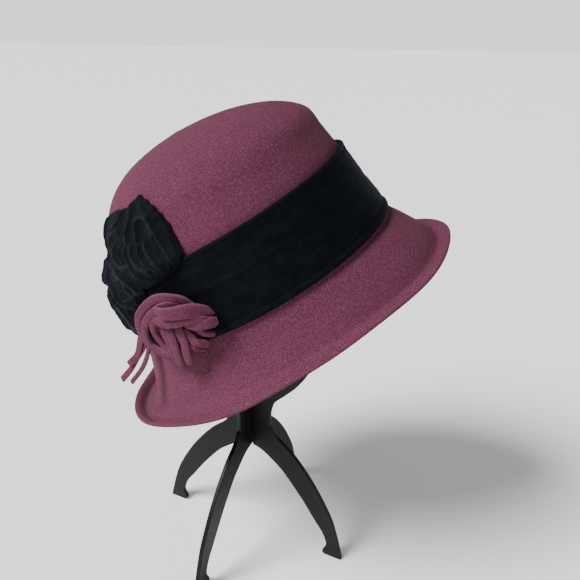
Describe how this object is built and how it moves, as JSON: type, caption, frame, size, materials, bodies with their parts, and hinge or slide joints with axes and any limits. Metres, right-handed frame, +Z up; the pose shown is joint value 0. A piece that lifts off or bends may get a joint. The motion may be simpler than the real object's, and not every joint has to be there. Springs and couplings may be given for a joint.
{
  "type": "cloche hat on a crossed-plate hat stand",
  "caption": "Burgundy felt cloche with a folded black velvet band, ruched rosette and felt knot, tilted on a plain black stand of crossed plates",
  "frame": {"origin": "middle of the footprint of the whole object, on the floor that the stand rests on", "axes": "+Z up, +X towards the front of the hat, which is raised, +Y to the wearer's left"},
  "size_m": [0.246, 0.2198, 0.3514],
  "materials": {
    "felt": "brushed wool felt, burgundy",
    "velvet": "short-pile velvet, blue-black",
    "plastic": "fine matte black"
  },
  "bodies": {
    "root": {"felt_hood": "felt", "felt_knot": "felt", "felt_tail_wide": "felt", "felt_tail_thin": "felt", "velvet_band": "velvet", "rosette_top": "velvet", "rosette_side": "velvet", "rosette_low": "velvet", "stand_plate_a": "plastic", "stand_plate_b": "plastic"}
  },
  "joints": []
}
